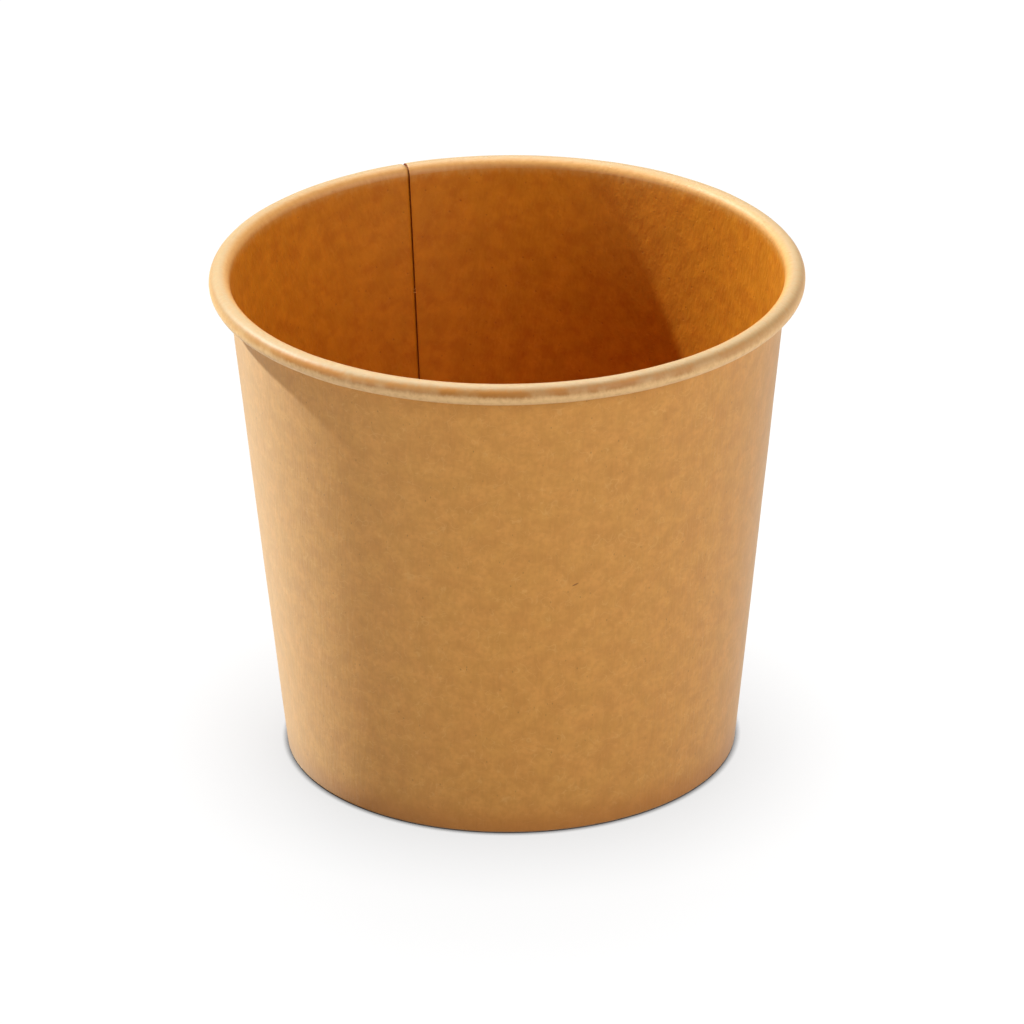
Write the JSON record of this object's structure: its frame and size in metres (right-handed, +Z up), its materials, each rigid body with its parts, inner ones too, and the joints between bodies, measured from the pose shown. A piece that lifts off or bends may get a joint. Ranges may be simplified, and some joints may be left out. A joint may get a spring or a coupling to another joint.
{
  "type": "paper soup container",
  "caption": "Tapered paper soup container with a rolled rim, a lapped side seam and a recessed bottom held in a folded foot; open at the top, no lid.",
  "frame": {"origin": "centre of the foot ring, on the surface the container stands on", "axes": "+Z up along the container's axis; the cut edge of the side seam that shows inside is at the back, 110.9 degrees round from +X"},
  "size_m": [0.098, 0.098, 0.085],
  "materials": {
    "wall_board": "matte uncoated outside, thin clear film on the food side",
    "bottom_board": "thin clear film on the food side"
  },
  "bodies": {
    "root": {"side_wall": "wall_board", "bottom_disc": "bottom_board"}
  },
  "joints": []
}
